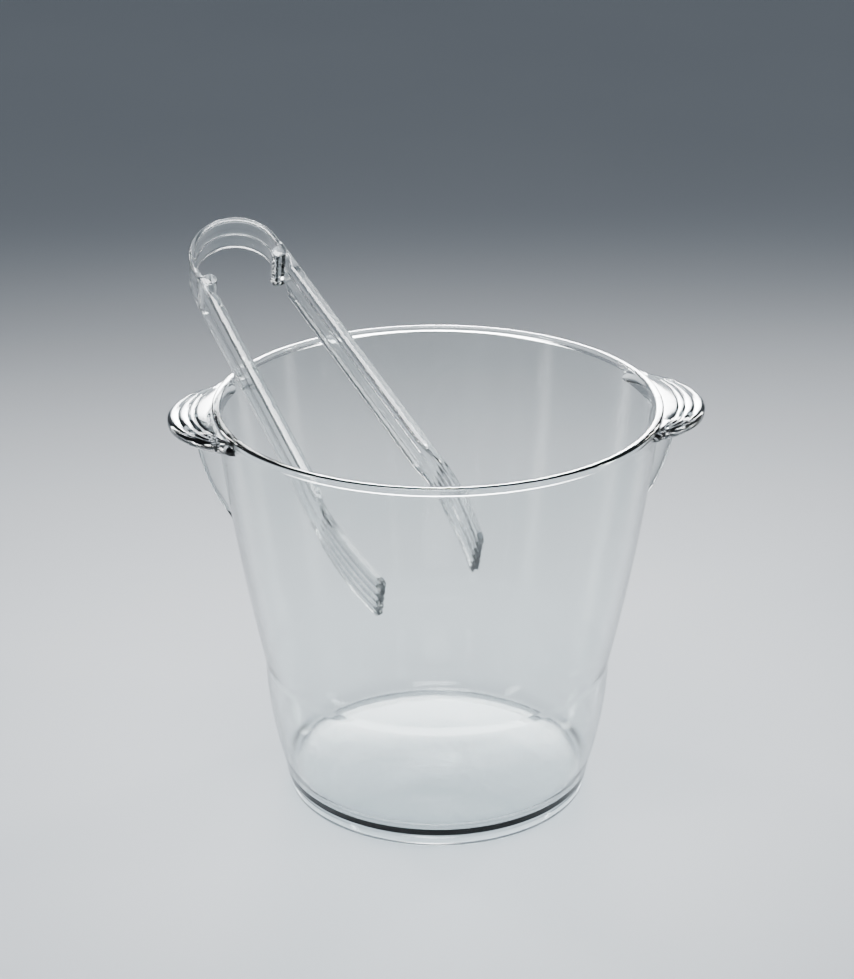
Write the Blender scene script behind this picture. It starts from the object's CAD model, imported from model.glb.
# %% [markdown]
# # A clear ice bucket and its tongs
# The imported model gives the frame: where every piece is and what moves with what.
# It is loaded first, and its box is kept, because the finished pieces must stay inside it.

# %% Load the frame
import math
import bmesh
import bpy
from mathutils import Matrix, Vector


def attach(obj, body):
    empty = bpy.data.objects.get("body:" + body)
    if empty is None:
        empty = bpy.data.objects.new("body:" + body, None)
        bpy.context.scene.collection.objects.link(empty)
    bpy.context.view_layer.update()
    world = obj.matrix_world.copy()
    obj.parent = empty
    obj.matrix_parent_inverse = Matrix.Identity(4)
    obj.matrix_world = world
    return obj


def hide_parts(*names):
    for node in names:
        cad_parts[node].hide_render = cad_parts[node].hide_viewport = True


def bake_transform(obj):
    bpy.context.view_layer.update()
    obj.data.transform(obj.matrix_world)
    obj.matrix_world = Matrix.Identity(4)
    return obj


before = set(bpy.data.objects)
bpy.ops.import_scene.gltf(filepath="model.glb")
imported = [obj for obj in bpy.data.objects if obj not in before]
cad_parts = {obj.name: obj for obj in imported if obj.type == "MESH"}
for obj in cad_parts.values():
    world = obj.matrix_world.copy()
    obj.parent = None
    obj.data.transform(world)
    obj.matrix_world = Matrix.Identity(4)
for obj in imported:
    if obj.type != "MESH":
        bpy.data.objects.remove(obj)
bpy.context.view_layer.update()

# %% [markdown]
# ## The room
# The set is a plain pale floor under soft light. Clear plastic has no colour of its own: the eye
# reads it from what it bends and mirrors. Soft lamps all round give long clean highlights on the
# rim and handles, and a darker surround draws the fine dark lines along every edge.

# %% Colours and nodes
def linear(hex_colour):
    """An sRGB hex colour as the linear RGBA that shaders use."""
    channels = [int(hex_colour[i : i + 2], 16) / 255 for i in (1, 3, 5)]
    return [c / 12.92 if c <= 0.04045 else ((c + 0.055) / 1.055) ** 2.4 for c in channels] + [1.0]


def add_node(tree, kind, settings=None, **inputs):
    """Adds a node, sets its own settings, and fills its inputs with values or links."""
    node = tree.nodes.new(kind)
    for key, value in (settings or {}).items():
        setattr(node, key, value)
    for key, value in inputs.items():
        # A key such as i6 is a socket's number, for the sockets that share a name.
        numbered = key[0] == "i" and key[1:].isdigit()
        socket = node.inputs[int(key[1:]) if numbered else key.replace("_", " ")]
        if isinstance(value, bpy.types.NodeSocket):
            tree.links.new(value, socket)
        else:
            socket.default_value = value
    return node


def new_material(name):
    """An empty node material and its output node."""
    material = bpy.data.materials.new(name)
    material.use_nodes = True
    material.node_tree.nodes.clear()
    output = material.node_tree.nodes.new("ShaderNodeOutputMaterial")
    return material, material.node_tree, output


# %% [markdown]
# The floor is a matt painted board. Its grey is slightly uneven, as hand-rolled paint is, so it is
# mottled between two close greys.

# %% Floor
FLOOR_SIZE = 6.0      # half the side of the board, in metres
floor_paint, tree, output = new_material("matt_studio_floor")
place = add_node(tree, "ShaderNodeTexCoord")
mottle = add_node(tree, "ShaderNodeTexNoise", Vector=place.outputs["Object"], Scale=3.0, Detail=3.0)
tint = add_node(
    tree, "ShaderNodeMix", {"data_type": "RGBA"},
    Factor=mottle.outputs["Fac"], i6=linear("#A7ABB0"), i7=linear("#AFB3B7"),
)
shader = add_node(tree, "ShaderNodeBsdfPrincipled", Base_Color=tint.outputs[2], Roughness=0.55)
tree.links.new(shader.outputs[0], output.inputs[0])

bm = bmesh.new()
bmesh.ops.create_grid(bm, x_segments=1, y_segments=1, size=FLOOR_SIZE)
floor_mesh = bpy.data.meshes.new("floor")
bm.to_mesh(floor_mesh)
bm.free()
floor = bpy.data.objects.new("floor", floor_mesh)
bpy.context.scene.collection.objects.link(floor)
floor_mesh.materials.append(floor_paint)
print("floor", floor.dimensions[:])


# %% [markdown]
# The lamps are softboxes and tall strips. The two strips at the back and the softbox behind them
# light the rim from the far side, the others fill from above, the front and the sides.

# %% Soft lamps
LAMPS_AIM = (0, 0, 0.12)


def soft_lamp(name, at, size, power, spread):
    """A rectangular lamp that faces the bucket. A narrow spread keeps its light off the far floor."""
    data = bpy.data.lights.new(name, "AREA")
    data.shape = "RECTANGLE"
    data.size, data.size_y = size
    data.energy = power
    data.spread = math.radians(spread)
    lamp = bpy.data.objects.new(name, data)
    lamp.location = at
    lamp.rotation_euler = (Vector(LAMPS_AIM) - Vector(at)).to_track_quat("-Z", "Y").to_euler()
    bpy.context.scene.collection.objects.link(lamp)
    return lamp


soft_lamp("overhead_softbox", (-0.1, -0.16, 1.1), (0.38, 0.38), 1.5, 66)
soft_lamp("back_softbox", (0.14, 1.5, 0.71), (1.0, 0.22), 1.25, 38)
soft_lamp("left_back_strip", (-0.85, 0.75, 0.45), (0.12, 0.8), 1.1, 44)
soft_lamp("right_back_strip", (0.95, 0.75, 0.45), (0.12, 0.8), 1.1, 44)
soft_lamp("front_softbox", (-0.1, -1.45, 1.2), (1.0, 0.3), 0.9, 50)
soft_lamp("left_strip", (-1.05, -0.4, 0.45), (0.1, 0.8), 0.8, 44)
soft_lamp("right_strip", (1.1, -0.1, 0.45), (0.08, 0.8), 0.7, 44)

# %% Surroundings
world = bpy.data.worlds.new("room")
world.use_nodes = True
background = world.node_tree.nodes["Background"]
background.inputs["Color"].default_value = linear("#666A6F")
background.inputs["Strength"].default_value = 1.8
bpy.context.scene.world = world
bpy.context.scene.view_settings.look = "AgX - Medium High Contrast"

# %% [markdown]
# The camera looks down on the rim at about 23 degrees, from a metre away through a long lens.

# %% Camera
camera_data = bpy.data.cameras.new("camera")
camera_data.sensor_fit = "HORIZONTAL"
camera_data.sensor_width = 36
camera_data.lens = 105.67
camera_data.clip_start = 0.02
camera = bpy.data.objects.new("camera", camera_data)
camera.location = (-0.0846, -0.9275, 0.5344)
camera.rotation_euler = (math.radians(66.506), 0, math.radians(-4.95))
bpy.context.scene.collection.objects.link(camera)
bpy.context.scene.camera = camera
print("camera", [round(v, 3) for v in camera.location])

# %% [markdown]
# ## Clear plastic
# The bucket and the tongs are injection moulded acrylic. Seen close, such plastic is not flawless:
# it has faint flow ripples from the mould, a few centimetres long, and a haze of hairline marks from
# washing and use. Both go into the bump, and the surface is a touch rougher where it is worn, so the
# plastic stays clear. Light from the lamps goes through to the floor with a small loss, as it does
# through 2 to 3 mm of acrylic.

# %% Moulded acrylic
def moulded_acrylic(name, tone, roughness, ripple, hairline, lamp_loss):
    """Clear plastic with flow ripples and hairline marks in its bump."""
    material, tree, output = new_material(name)
    place = add_node(tree, "ShaderNodeTexCoord")
    # Flow ripples about 25 mm apart.
    where = place.outputs["Object"]
    flow = add_node(tree, "ShaderNodeTexNoise", Vector=where, Scale=40.0, Detail=2.0, Roughness=0.45)
    # Hairlines run mostly along one direction, so the pattern is squeezed along it.
    squeeze = add_node(tree, "ShaderNodeMapping", Vector=where, Scale=(1400, 1400, 45))
    streaks = squeeze.outputs[0]
    lines = add_node(tree, "ShaderNodeTexNoise", Vector=streaks, Scale=1.0, Detail=3.0, Roughness=0.6)
    low = add_node(tree, "ShaderNodeBump", Strength=ripple, Distance=0.001, Height=flow.outputs["Fac"])
    high = add_node(
        tree, "ShaderNodeBump", Strength=hairline, Distance=0.0001,
        Height=lines.outputs["Fac"], Normal=low.outputs[0],
    )
    haze = add_node(tree, "ShaderNodeTexNoise", Vector=where, Scale=90.0, Detail=4.0, Roughness=0.6)
    worn = add_node(
        tree, "ShaderNodeMapRange", Value=haze.outputs["Fac"],
        From_Min=0.35, From_Max=0.75, To_Min=roughness, To_Max=roughness * 2.2,
    )
    plastic = add_node(
        tree, "ShaderNodeBsdfPrincipled", Base_Color=linear(tone), Roughness=worn.outputs[0],
        IOR=1.49, Transmission_Weight=1.0, Normal=high.outputs[0],
    )
    through = add_node(tree, "ShaderNodeBsdfTransparent", Color=linear(lamp_loss))
    rays = add_node(tree, "ShaderNodeLightPath")
    # Lamp light and light bounced off the floor both pass straight through, so neither counts twice.
    soft = add_node(
        tree, "ShaderNodeMath", {"operation": "MAXIMUM"},
        i0=rays.outputs["Is Shadow Ray"], i1=rays.outputs["Is Diffuse Ray"],
    )
    mix = add_node(
        tree, "ShaderNodeMixShader", Fac=soft.outputs[0], i1=plastic.outputs[0], i2=through.outputs[0]
    )
    tree.links.new(mix.outputs[0], output.inputs[0])
    return material


bucket_acrylic = moulded_acrylic("bucket_moulded_acrylic", "#F7FAFA", 0.012, 0.05, 0.12, "#EEF1F2")
tongs_acrylic = moulded_acrylic("tongs_moulded_acrylic", "#F5F8F8", 0.02, 0.06, 0.15, "#E6EAEB")

# Where the two halves of the tongs join, the cut face lets every ray straight through.
join_film, tree, output = new_material("clear_join")
clear = add_node(tree, "ShaderNodeBsdfTransparent")
tree.links.new(clear.outputs[0], output.inputs[0])
print("materials", [m.name for m in bpy.data.materials])

# %% [markdown]
# ## The bucket
# The real bucket is one moulding: foot, wall, rim, handles and gussets are a single piece of clear
# plastic. If they were separate touching meshes, light would bend again at every hidden joint, so
# here they are one closed skin. A lathe makes the round part: the wall's section is drawn as a
# row of points and spun about the axis.

# %% Sizes of the bucket, in millimetres
RIM, TOP, WALL = 90.0, 168.5, 2.4
FOOT, FOOT_HIGH, FLOOR_TOP = 62.8, 4.0, 7.0
LIP_LOW, LIP_THICK = 166.1, 3.4     # underside of the lip, and its thickness
LOW_CREASE, HIGH_CREASE, WALL_END = (64.6, 11.4), (71.4, 57.0), (88.8, 165.2)    # radius and height
LOW_BULGE, HIGH_BULGE = 1.5, 1.6    # how far each tier bows out of a straight cone
HANDLE_LOW, HANDLE_HIGH = TOP - 7.1, TOP - 1.6
GUSSET_HIGH = 40.5                  # how far a gusset runs down the wall
gusset_low = HANDLE_LOW - GUSSET_HIGH


def bowed(p, q, sag, z):
    """Radius at height z on the line from p to q, bowed out by sag in the middle."""
    t = (z - p[1]) / (q[1] - p[1])
    return p[0] + (q[0] - p[0]) * t + 4 * sag * t * (1 - t)


def wall_radius(z):
    """Outer radius of the wall at height z."""
    if z > LIP_LOW:
        return RIM
    if z > WALL_END[1]:
        return WALL_END[0] + (RIM - WALL_END[0]) * (z - WALL_END[1]) / (LIP_LOW - WALL_END[1])
    if z > HIGH_CREASE[1]:
        return bowed(HIGH_CREASE, WALL_END, HIGH_BULGE, z)
    return bowed(LOW_CREASE, HIGH_CREASE, LOW_BULGE, z)


def heights(low, high, count):
    """count heights from low up to high, low left out."""
    return [low + (high - low) * (i + 1) / count for i in range(count)]


# %% Draw the section
low_z, high_z, wall_z = LOW_CREASE[1], HIGH_CREASE[1], WALL_END[1]
LEDGE = 164.6         # where the inside of the wall meets the thicker lip
band = [HANDLE_LOW] + heights(HANDLE_LOW, wall_z, 12) + heights(wall_z, LIP_LOW, 3)
band += heights(LIP_LOW, HANDLE_HIGH, 5)

# The underside of the floor, then round the foot and up to the lower crease.
outside = [(0, FOOT_HIGH), (30, FOOT_HIGH), (56.6, FOOT_HIGH), (57.8, FOOT_HIGH), (58.2, 0.0), (62.5, 0.0)]
outside += [(FOOT, 3.8), (61.8, 4.2), (63.4, 5.4), LOW_CREASE]
outside += [(wall_radius(z), z) for z in heights(low_z, high_z, 10) + heights(high_z, gusset_low, 10)]
outside += [(wall_radius(z), z) for z in heights(gusset_low, HANDLE_LOW, 10) + band[1:]]
outside += [(RIM, TOP)]

# Over the lip, down the inside of both tiers and in to the middle of the floor.
inside = [(RIM - LIP_THICK, TOP), (RIM - LIP_THICK, LIP_LOW), (86.4, LEDGE)]
upper_tier = list(reversed(heights(high_z, LEDGE, 22)[:-1]))
lower_tier = [high_z] + list(reversed(heights(low_z, high_z, 10)[:-1])) + [low_z]
inside += [(bowed(HIGH_CREASE, WALL_END, HIGH_BULGE, z) - WALL, z) for z in upper_tier]
inside += [(bowed(LOW_CREASE, HIGH_CREASE, LOW_BULGE, z) - WALL, z) for z in lower_tier]
inside += [(60.2, 8.2), (59.0, FLOOR_TOP), (57.6, FLOOR_TOP), (30, FLOOR_TOP), (0, FLOOR_TOP)]
print("section points", len(outside), "outside and", len(inside), "inside")

# %% Spin it
STEPS = 360
bm = bmesh.new()
row = [bm.verts.new((r / 1000, 0, z / 1000)) for r, z in outside + inside]
line = [bm.edges.new(pair) for pair in zip(row, row[1:])]
bmesh.ops.spin(
    bm, geom=row + line, cent=(0, 0, 0), axis=(0, 0, 1), angle=math.tau, steps=STEPS,
    use_merge=True, use_duplicate=False,
)
bmesh.ops.remove_doubles(bm, verts=bm.verts, dist=1e-6)
print("lathe faces", len(bm.faces), "open edges", sum(len(e.link_faces) != 2 for e in bm.edges))

# %% [markdown]
# The handles and their gussets grow out of the wall. The faces of the wall that they cover are
# extruded together, and each new point then moves to its place on the handle's section. Every
# line across a handle is part of a circle through its two tips, so the steps close up like the
# skins of an onion.

# %% Cut the wall where the gussets stand
KEEL = 2.2            # half the thickness of a gusset where it meets the wall


def by_a_gusset(face):
    """True for the faces of the wall close to a gusset, so that the rest of the lathe isn't cut."""
    c = face.calc_center_median() * 1000
    return abs(c.x) > 68 and c.z > 118.5 and abs(c.y) < 12


for y in (KEEL, 2.17, 2.07, 1.86, 1.5, 1.0, 0.5):
    for plane in (y, -y):
        near = [f for f in bm.faces if by_a_gusset(f)]
        edges = {e for f in near for e in f.edges}
        verts = {v for f in near for v in f.verts}
        bmesh.ops.bisect_plane(
            bm, geom=near + list(edges) + list(verts), dist=1e-6,
            plane_co=(0, plane / 1000, 0), plane_no=(0, 1, 0),
        )
print("faces after the cuts", len(bm.faces))

# %% Shapes of the handle and the gusset
HANDLE_R, REACH = 36.3, 17.6
handle_at = RIM + REACH - HANDLE_R
tip_x = (RIM**2 - HANDLE_R**2 + handle_at**2) / (2 * handle_at)
tip_y = math.sqrt(RIM**2 - tip_x**2)


def ray_to_circle(angle, centre, radius):
    """Distance from the axis to a circle centred at (centre, 0), in the direction angle."""
    along = centre * math.cos(angle)
    inner = radius**2 - (centre * math.sin(angle)) ** 2
    return along + math.sqrt(inner) if inner > 0 else 0.0


def edge_circle(angle, inset):
    """The handle's outer edge, moved in by inset."""
    return ray_to_circle(angle, handle_at, HANDLE_R - inset)


def tip_circle(angle, out):
    """A circle through both tips of the handle that reaches out from the rim."""
    mid = RIM + out
    centre = (mid**2 - tip_x**2 - tip_y**2) / (2 * (mid - tip_x))
    return ray_to_circle(angle, centre, mid - centre)


# %% [markdown]
# The handle's section is read from its underside round the outer edge and back over the steps. Each
# entry is a curve, how far that curve is from the edge or the rim, and a height.

# %% The handle's section
BEAD = HANDLE_HIGH - 1.2    # top of the rounded outer edge
handle_section = [
    (tip_circle, 7.6, HANDLE_LOW), (edge_circle, 1.3, HANDLE_LOW), (edge_circle, 0.65, HANDLE_LOW + 0.17),
    (edge_circle, 0.17, HANDLE_LOW + 0.65), (edge_circle, 0.0, HANDLE_LOW + 1.3),
    (edge_circle, 0.0, BEAD - 1.7), (edge_circle, 0.25, BEAD - 0.85),
    (edge_circle, 0.85, BEAD - 0.25), (edge_circle, 1.9, BEAD), (tip_circle, 14.4, BEAD - 0.1),
    (tip_circle, 13.3, BEAD - 0.28), (tip_circle, 12.6, BEAD + 0.08), (tip_circle, 11.8, BEAD + 0.4),
    (tip_circle, 10.4, BEAD + 0.32), (tip_circle, 9.5, BEAD + 0.18), (tip_circle, 8.9, BEAD + 0.5),
    (tip_circle, 8.2, BEAD + 0.8), (tip_circle, 7.2, BEAD + 0.74), (tip_circle, 6.6, BEAD + 0.66),
    (tip_circle, 6.1, BEAD + 0.95), (tip_circle, 5.4, BEAD + 1.2),
]
assert len(handle_section) == len(band)
# How far down a gusset, as a share of its height, and the radius of its outer edge there.
gusset_edge = [(0.0, 97.6), (0.18, 96.7), (0.37, 95.0), (0.58, 92.5), (0.79, 89.0), (1.0, 83.4)]


def gusset_radius(z):
    """Outer edge of a gusset at height z, read between the points above."""
    t = (HANDLE_LOW - z) / GUSSET_HIGH
    for (t0, r0), (t1, r1) in zip(gusset_edge, gusset_edge[1:]):
        if t <= t1 + 1e-6:
            return r0 + (r1 - r0) * (t - t0) / (t1 - t0)
    return gusset_edge[-1][1]


print("handle tips", round(tip_x, 1), round(tip_y, 1))


# %% Pull the handles and gussets out
HANDLE_SPAN = math.radians(22.6)    # just past half the angle between a handle's tips


def covered(face):
    """True for the faces of the outer wall that a handle or a gusset grows from."""
    c = face.calc_center_median() * 1000
    if math.hypot(c.x, c.y) < wall_radius(c.z) - 1.2 or abs(face.normal.z) > 0.9:
        return False
    on_band = band[0] < c.z < band[-1] and abs(math.atan2(c.y, abs(c.x))) < math.radians(23)
    return on_band or (gusset_low < c.z < HANDLE_LOW and abs(c.y) < KEEL)


def on_gusset(y, z):
    """The point of a gusset's outer face at y and z. Across its thickness it is half an ellipse."""
    share = math.sqrt(max(1 - (y / KEEL) ** 2, 0.0))
    radius = wall_radius(z) + max(gusset_radius(z) - wall_radius(z), 0.0) * share
    return math.sqrt(radius**2 - y**2), y, z


def on_handle(angle, z):
    """The point of the handle's section that grows from height z of the wall."""
    index = min(range(len(band)), key=lambda i: abs(band[i] - z))
    shape, value, height = handle_section[index]
    radius = max(shape(angle, value), wall_radius(height))
    return radius * math.cos(angle), radius * math.sin(angle), height


roots = [f for f in bm.faces if covered(f)]
grown = bmesh.ops.extrude_face_region(bm, geom=roots)
moved = [v for v in grown["geom"] if isinstance(v, bmesh.types.BMVert)]
for v in moved:
    x, y, z = v.co * 1000
    angle = math.atan2(y, abs(x))
    if abs(angle) > HANDLE_SPAN:
        continue
    place = on_gusset(y, z) if z < HANDLE_LOW - 0.01 else on_handle(angle, z)
    v.co = (math.copysign(place[0], x) / 1000, place[1] / 1000, place[2] / 1000)
bmesh.ops.delete(bm, geom=[f for f in roots if f.is_valid], context="FACES")
bmesh.ops.remove_doubles(bm, verts=bm.verts, dist=1e-6)
print("grown points", len(moved), "open edges", sum(len(e.link_faces) != 2 for e in bm.edges))


# %% [markdown]
# Moulded edges are never knife sharp. A small bevel on the rim, the foot and the two soft creases
# gives each a thin highlight. Edges that stay crisp are marked sharp, and the rest shade smoothly.

# %% Helpers that find a ring of edges and finish a piece
def loop_at(radius, height):
    """The edges of the ring at this radius and height, in millimetres."""
    def on_ring(v):
        off = math.hypot(v.co.x, v.co.y) * 1000 - radius
        return abs(v.co.z * 1000 - height) < 0.02 and abs(off) < 0.03

    return [e for e in bm.edges if all(on_ring(v) for v in e.verts)]


def finish_piece(bm, name, materials, sharp=35):
    """Turns the bmesh into an object with smooth faces and crisp marked edges."""
    bmesh.ops.remove_doubles(bm, verts=bm.verts, dist=1e-6)
    bmesh.ops.dissolve_degenerate(bm, edges=bm.edges, dist=1e-6)
    bmesh.ops.recalc_face_normals(bm, faces=bm.faces)
    for f in bm.faces:
        f.smooth = True
    for e in bm.edges:
        if len(e.link_faces) == 2 and e.calc_face_angle(0) > math.radians(sharp):
            e.smooth = False
    open_edges = sum(len(e.link_faces) != 2 for e in bm.edges)
    mesh = bpy.data.meshes.new(name)
    volume = round(bm.calc_volume() * 1e6, 2)
    print(name, "faces", len(bm.faces), "open edges", open_edges, "volume cm3", volume)
    bm.to_mesh(mesh)
    bm.free()
    for material in materials:
        mesh.materials.append(material)
    piece = bpy.data.objects.new(name, mesh)
    bpy.context.scene.collection.objects.link(piece)
    return piece


# %% Bevel the edges
# Each entry is the edges, the width of the bevel in millimetres and its segments.
rounding = [
    (loop_at(RIM, TOP) + loop_at(RIM - LIP_THICK, TOP), 0.8, 4),
    (loop_at(RIM - LIP_THICK, LIP_LOW), 0.5, 2),
    (loop_at(*LOW_CREASE) + loop_at(LOW_CREASE[0] - WALL, low_z), 1.2, 3),
    (loop_at(*HIGH_CREASE) + loop_at(HIGH_CREASE[0] - WALL, high_z), 1.8, 4),
    (loop_at(62.5, 0) + loop_at(58.2, 0), 0.6, 3),
    (loop_at(59.0, FLOOR_TOP) + loop_at(60.2, 8.2), 0.6, 2),
]
for edges, size, steps in rounding:
    print("bevel", len(edges), "edges by", size)
    bmesh.ops.bevel(
        bm, geom=edges, offset=size / 1000, offset_type="OFFSET", affect="EDGES",
        segments=steps, profile=0.5, material=-1,
    )
bucket = finish_piece(bm, "bucket_moulding", [bucket_acrylic])
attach(bucket, "bucket")
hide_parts("bucket_body", "foot_ring", "right_handle", "left_handle", "right_gusset", "left_gusset")

# %% [markdown]
# ## The tongs
# The real tongs are one strip of clear plastic bent into a hairpin: a thin springy bow, two stiff
# channel arms with a knuckle near the bow, and two fanned claws, which have teeth here as such tongs
# usually do. When they are squeezed
# the bow bends and the arms stay straight, so the tongs are made as two halves, cut at the middle
# of the bow. Each half follows the frame's body at that cut and the arm's body past the bow.
# A half is a skin around a row of cross sections. A grid is the plainest start for that: one
# direction goes round the section and the other runs from the cut to the claw's tip.

# %% Sizes of the tongs, in millimetres
BOW_R, BOW_THICK, BOW_HALF = 19.4, 2.4, 9.3
ARM_HALF, RIB_DEEP, WEB, RIDGE = 10.6, 4.5, 2.2, 0.45
RIB_START, RIB_RAMP = 13.0, 4.5     # where the ribs begin, and the slope that they rise on
LEAN = math.radians(3.5)
HALF_TURN = math.pi / 2 - LEAN
ARM_END, CLAW, CLAW_HALF, CLAW_THICK, CURL_IN, TOOTH, FLUTES = 118.0, 47.0, 13.5, 2.6, 7.0, 3.2, 5
CURL_R = (CLAW**2 + CURL_IN**2) / (2 * CURL_IN)
KNUCKLE_AT, KNUCKLE_R, KNUCKLE_DEEP = 7.9, 2.6, 4.5
bow_centre = Vector((-78.1, 63.2, 204.97))
toward_tips = Vector((0.4300, -0.7266, -0.5358)).normalized()
upward = Vector((0.0277, -0.5826, 0.8123)).normalized()
toward_tips = (toward_tips - upward * toward_tips.dot(upward)).normalized()
across = toward_tips.cross(-upward)


def tong_point(side, travel, depth, z):
    """A point on one half: travel runs from the bow (negative) along the arm, depth is inwards."""
    if travel < 0:
        angle = HALF_TURN + travel / BOW_R
        x, y = (BOW_R - depth) * math.sin(angle), -(BOW_R - depth) * math.cos(angle)
    else:
        run, inward = min(travel, ARM_END), depth
        extra = max(travel - ARM_END, 0.0)
        if extra:
            inward = CURL_R - math.sqrt(max((CURL_R - depth) ** 2 - extra**2, 0.0))
            run = ARM_END + extra
        x = BOW_R * math.cos(LEAN) + run * math.sin(LEAN) - inward * math.cos(LEAN)
        y = -BOW_R * math.sin(LEAN) + run * math.cos(LEAN) + inward * math.sin(LEAN)
    return (bow_centre + across * side * x + toward_tips * y - upward * z) / 1000


print("bow apex", [round(v, 4) for v in tong_point(1, -BOW_R * HALF_TURN, 0, 0)])

# %% [markdown]
# The section changes along the arm: a flat strip with a fine ridge on the bow, a channel with two
# ribs on the arm, and a fluted plate on the claw. The same 41 columns across serve all three. They
# crowd at the ribs on the arm and spread evenly over the flutes on the claw.

# %% Cross sections
def ease(value, start, end):
    """0 before start, 1 after end, and a smooth rise between."""
    t = min(max((value - start) / (end - start), 0.0), 1.0)
    return t * t * (3 - 2 * t)


COLUMNS = 40
MIDDLE = COLUMNS // 2
# From the edge of the strip to its middle: place across, height of the rib, height of the ridge
# and how far the corner is rounded away, each as a share.
arm_spacing = [
    1.0, 0.99, 0.968, 0.935, 0.88, 0.845, 0.82, 0.803, 0.788, 0.766, 0.72,
    0.61, 0.5, 0.39, 0.28, 0.18, 0.115, 0.085, 0.062, 0.038, 0.0,
]
rib_height = [1.0, 1.0, 1.0, 1.0, 1.0, 0.99, 0.88, 0.5, 0.12, 0.02] + [0.0] * 11
ridge_height = [0.0] * 16 + [0.04, 0.4, 0.92, 1.0, 1.0]
corner = [1.0, 0.52, 0.22, 0.03] + [0.0] * 17


def half_width(travel):
    """Half the width of the strip, arm or claw."""
    width = BOW_HALF + (ARM_HALF - BOW_HALF) * ease(travel, 3.2, 5.2)
    return width + (CLAW_HALF - ARM_HALF) * ease(travel, ARM_END - 8, ARM_END + CLAW * 0.62)


def claw_share(travel):
    """0 on the arm, 1 on the claw."""
    return ease(travel, ARM_END - 6, ARM_END + 8)


def column_z(travel, k):
    """Where column k lies across the width."""
    side, j = (1 if k <= MIDDLE else -1), min(k, COLUMNS - k)
    share = claw_share(travel)
    spread = arm_spacing[j] * (1 - share) + (1 - j / MIDDLE) * share
    return side * spread * half_width(travel)


def flute(z):
    """Depth of the flutes across a claw."""
    pitch = 2 * CLAW_HALF / FLUTES
    offset = (z / pitch + 0.5) % 1.0 - 0.5
    return max(0.0, math.sqrt(max((0.55 * pitch) ** 2 - (offset * pitch) ** 2, 0.0)) - 0.42 * pitch)


def outer_depth(travel, k):
    """How far the outer face is rounded in at column k."""
    j = min(k, COLUMNS - k)
    if travel > ARM_END + 8:
        return 0.3 * (j == 0)
    return (0.45 + 0.35 * ease(travel, 4, 6)) * corner[j]


def inner_depth(travel, k, knuckle):
    """Depth of the inner face at column k, from the outer face."""
    j = min(k, COLUMNS - k)
    web = BOW_THICK + (WEB - BOW_THICK) * ease(travel, 3, 6)
    rise = min(max((travel - RIB_START) / RIB_RAMP, 0.0), 1.0)
    rib = (RIB_DEEP - web) * rise * rib_height[j]
    arm = web + rib + RIDGE * ridge_height[j]
    arm = max(arm, knuckle) - (0.45 + 0.4 * ease(travel, 4, 6)) * corner[j]
    share = claw_share(travel)
    # On the claw the columns are even, so the flutes are read at their real place.
    z = column_z(travel, k) / half_width(travel) * CLAW_HALF
    claw = CLAW_THICK - flute(z) * ease(travel, ARM_END + 6, ARM_END + 18) - 0.3 * (j == 0)
    return arm * (1 - share) + claw * share


def tooth_reach(k):
    """How far short of the tip column k ends, in the gaps between the teeth."""
    place = (k / COLUMNS * FLUTES) % 1.0
    return TOOTH * (1 - ease(min(place, 1 - place), 0.0, 0.32))


# %% [markdown]
# A station is a place along the half. At the knuckle, a half-round bar across the strip, it also
# says how deep the plastic is there.

# %% Stations along a half
bow_length = BOW_R * HALF_TURN
TEETH_FROM = ARM_END + CLAW - TOOTH - 1
bar_angles = [math.pi * i / 12 for i in range(13)]
knuckle = [(5.0, 0.0), (5.27, 2.5), (5.3, 3.2)]
for angle in bar_angles:
    knuckle.append((KNUCKLE_AT - KNUCKLE_R * math.cos(angle), KNUCKLE_DEEP + KNUCKLE_R * math.sin(angle)))
knuckle += [(10.5, 3.2), (10.53, 2.5), (10.8, 0.0)]

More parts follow.
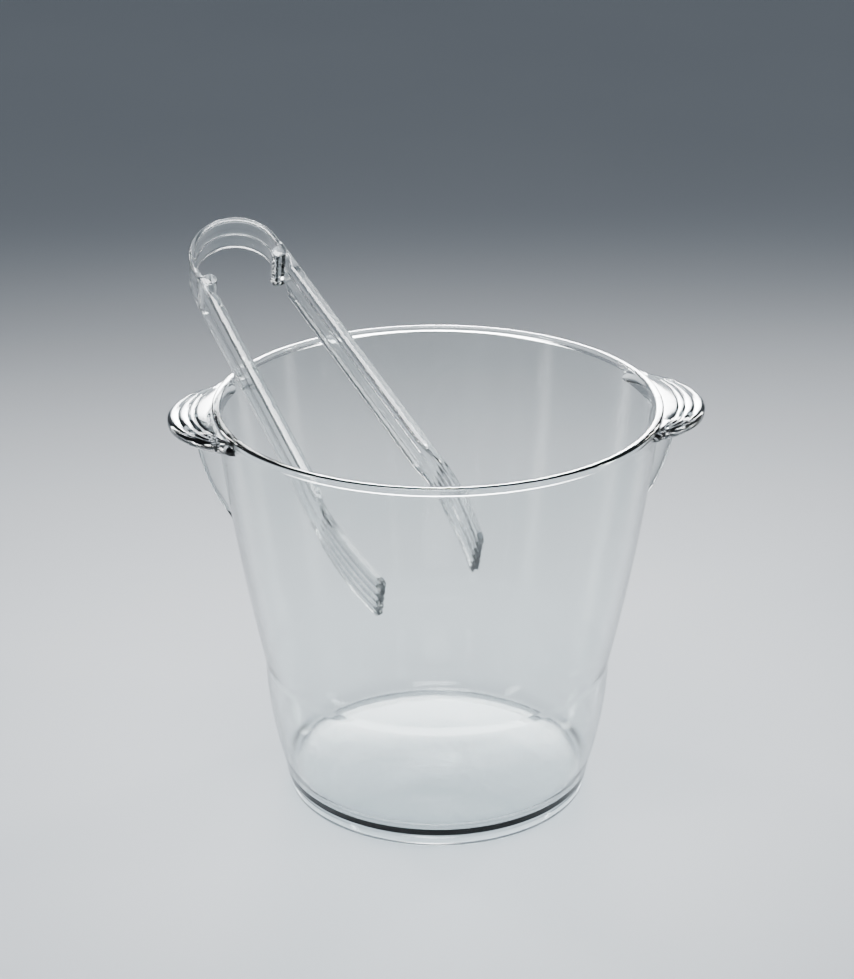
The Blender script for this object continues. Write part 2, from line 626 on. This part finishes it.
before = [-bow_length * (1 - i / 40) for i in range(40)] + [0, 1.5, 3.0, 3.6, 4.2, 4.7]
after = [11.9, 12.9, 13.1, 14, 15, 16, 17, 17.5, 18.5]
after += heights(18.5, ARM_END - 6, 24) + heights(ARM_END - 6, ARM_END + 8, 10)
after += heights(ARM_END + 8, TEETH_FROM, 14) + heights(TEETH_FROM, ARM_END + CLAW, 6)
stations = [(t, None) for t in before] + knuckle + [(t, None) for t in after]
print("stations", len(stations))


# %% Where each point of the skin goes
AROUND = 2 * (COLUMNS + 1)          # the outer face's columns, then the inner face's back again


def travel_at(index, k, outer):
    """How far along the half a point lies."""
    travel, bump = stations[index]
    if outer and bump is not None:      # the outer face runs evenly past the knuckle
        passed = (index - len(before)) / (len(knuckle) - 1)
        return knuckle[0][0] + (knuckle[-1][0] - knuckle[0][0]) * passed
    if travel > TEETH_FROM - 0.001:     # the last stations follow the teeth
        return travel - tooth_reach(k) * (travel - TEETH_FROM) / (TOOTH + 1)
    return travel


def skin_point(side, column, index):
    """Where the grid's point at this column and station goes."""
    travel, bump = stations[index]
    outer = column <= COLUMNS
    k = column if outer else AROUND - 1 - column
    depth = outer_depth(travel, k) if outer else inner_depth(travel, k, bump or 0.0)
    return tong_point(side, travel_at(index, k, outer), depth, column_z(travel, k))


# %% Make the two halves
def tong_half(name, side):
    """One half of the tongs as a closed skin."""
    bm = bmesh.new()
    bmesh.ops.create_grid(bm, x_segments=AROUND, y_segments=len(stations) - 1, size=1.0)
    for v in bm.verts:
        column = round((v.co.x + 1) / 2 * AROUND) % AROUND
        index = round((v.co.y + 1) / 2 * (len(stations) - 1))
        v.co = skin_point(side, column, index)
    bmesh.ops.remove_doubles(bm, verts=bm.verts, dist=1e-6)
    ends = bmesh.ops.holes_fill(bm, edges=[e for e in bm.edges if e.is_boundary], sides=0)["faces"]
    apex = tong_point(side, -bow_length, 0, 0)
    cut = min(ends, key=lambda f: (f.calc_center_median() - apex).length)
    cut.material_index = 1
    print(name, "ends", len(ends))
    return finish_piece(bm, name, [tongs_acrylic, join_film])


for name, side, arm in (("tong_right_half", 1, "right_arm"), ("tong_left_half", -1, "left_arm")):
    half = tong_half(name, side)
    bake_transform(half)
    prefix = name[: -len("_half")]
    if side > 0:
        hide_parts(prefix + "_arm", prefix + "_claw", "tong_spring_bow")
    else:
        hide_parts(prefix + "_arm", prefix + "_claw")
